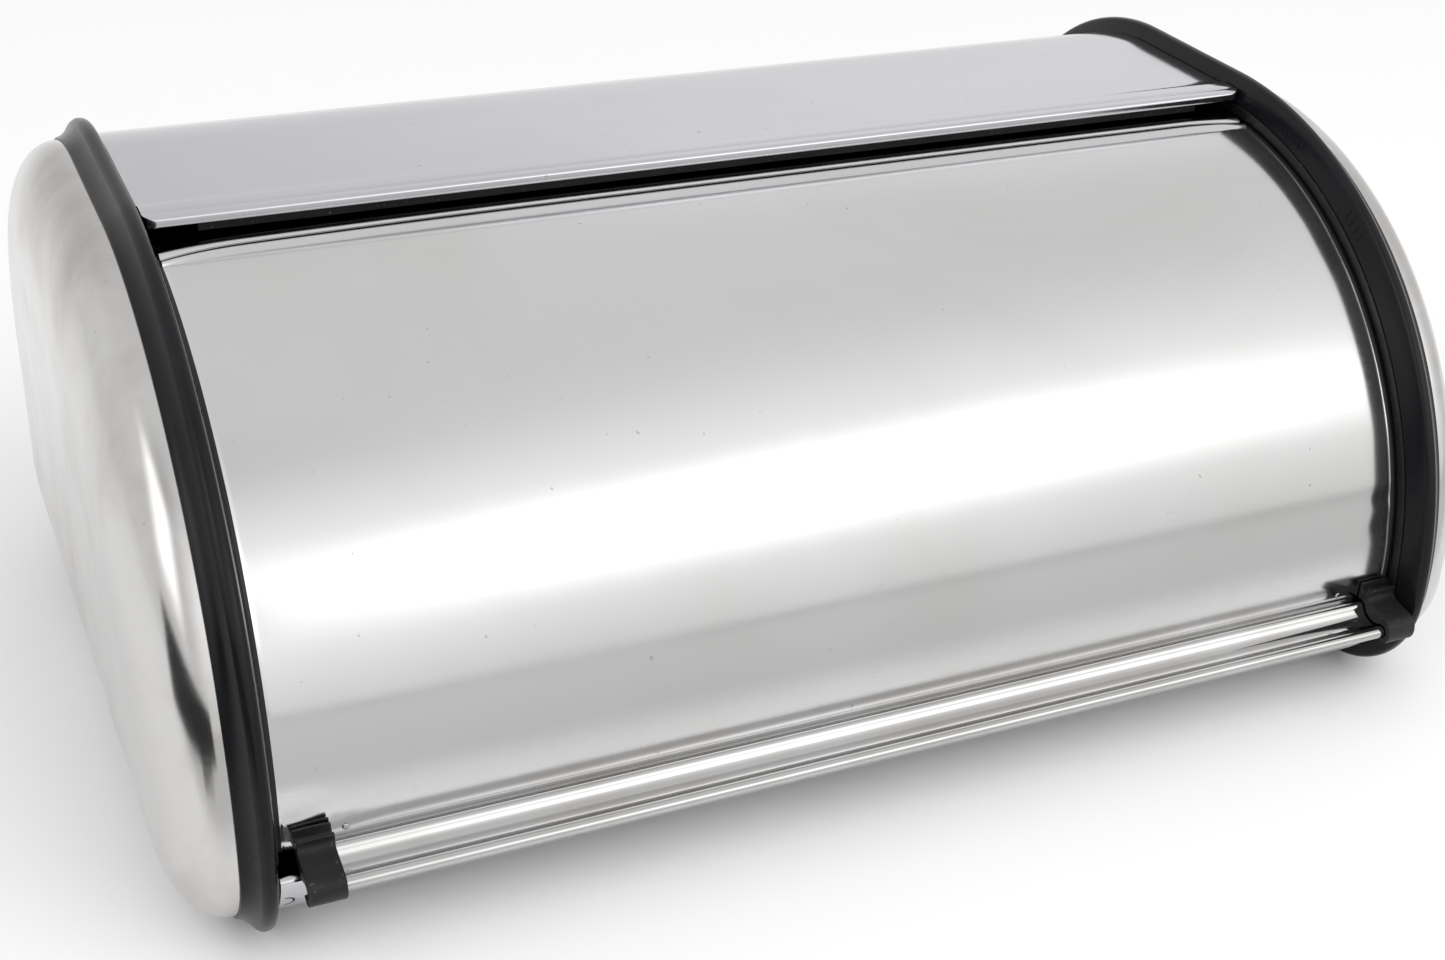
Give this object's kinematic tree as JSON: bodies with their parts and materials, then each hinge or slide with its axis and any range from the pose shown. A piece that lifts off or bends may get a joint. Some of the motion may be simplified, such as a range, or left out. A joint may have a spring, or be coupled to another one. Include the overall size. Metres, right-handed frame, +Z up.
{
  "type": "roll-top bread box",
  "caption": "Long steel bread box with domed end caps in black side frames and a curved front door that rolls up and back under the top.",
  "frame": {"origin": "on the ground, under the middle of the closed box's bounding box", "axes": "+X along the box's length to its right end, -Y out of the front where the door is, +Z up"},
  "size_m": [0.4332, 0.2848, 0.1754],
  "materials": {
    "shell_steel": "satin stainless sheet",
    "cap_steel": "polished stainless pressing with a soft grain",
    "door_steel": "mirror-polished stainless sheet",
    "frame_plastic": "semi-gloss black moulding",
    "strip_plastic": "matt black strip",
    "trim_plastic": "semi-gloss black edge trim",
    "clip_rubber": "matt black soft moulding",
    "screw_zinc": "zinc-plated screw"
  },
  "bodies": {
    "housing": {"body_shell": "shell_steel", "frame_left": "frame_plastic", "frame_right": "frame_plastic", "track_left": "frame_plastic", "track_right": "frame_plastic", "cap_left": "cap_steel", "cap_right": "cap_steel", "cross_strip": "strip_plastic", "screws_left": "screw_zinc", "screws_right": "screw_zinc"},
    "door": {"door_panel": "door_steel", "handle_rail": "door_steel", "handle_rivets": "shell_steel", "edge_trim_left": "trim_plastic", "edge_trim_right": "trim_plastic", "clip_left": "clip_rubber", "clip_right": "clip_rubber"}
  },
  "joints": [
    {"name": "door_roll", "type": "hinge", "parent": "housing", "child": "door", "pos_m": [0, 0, 0.0374], "axis": [-1, 0, 0], "range_deg": [0, 84]}
  ]
}
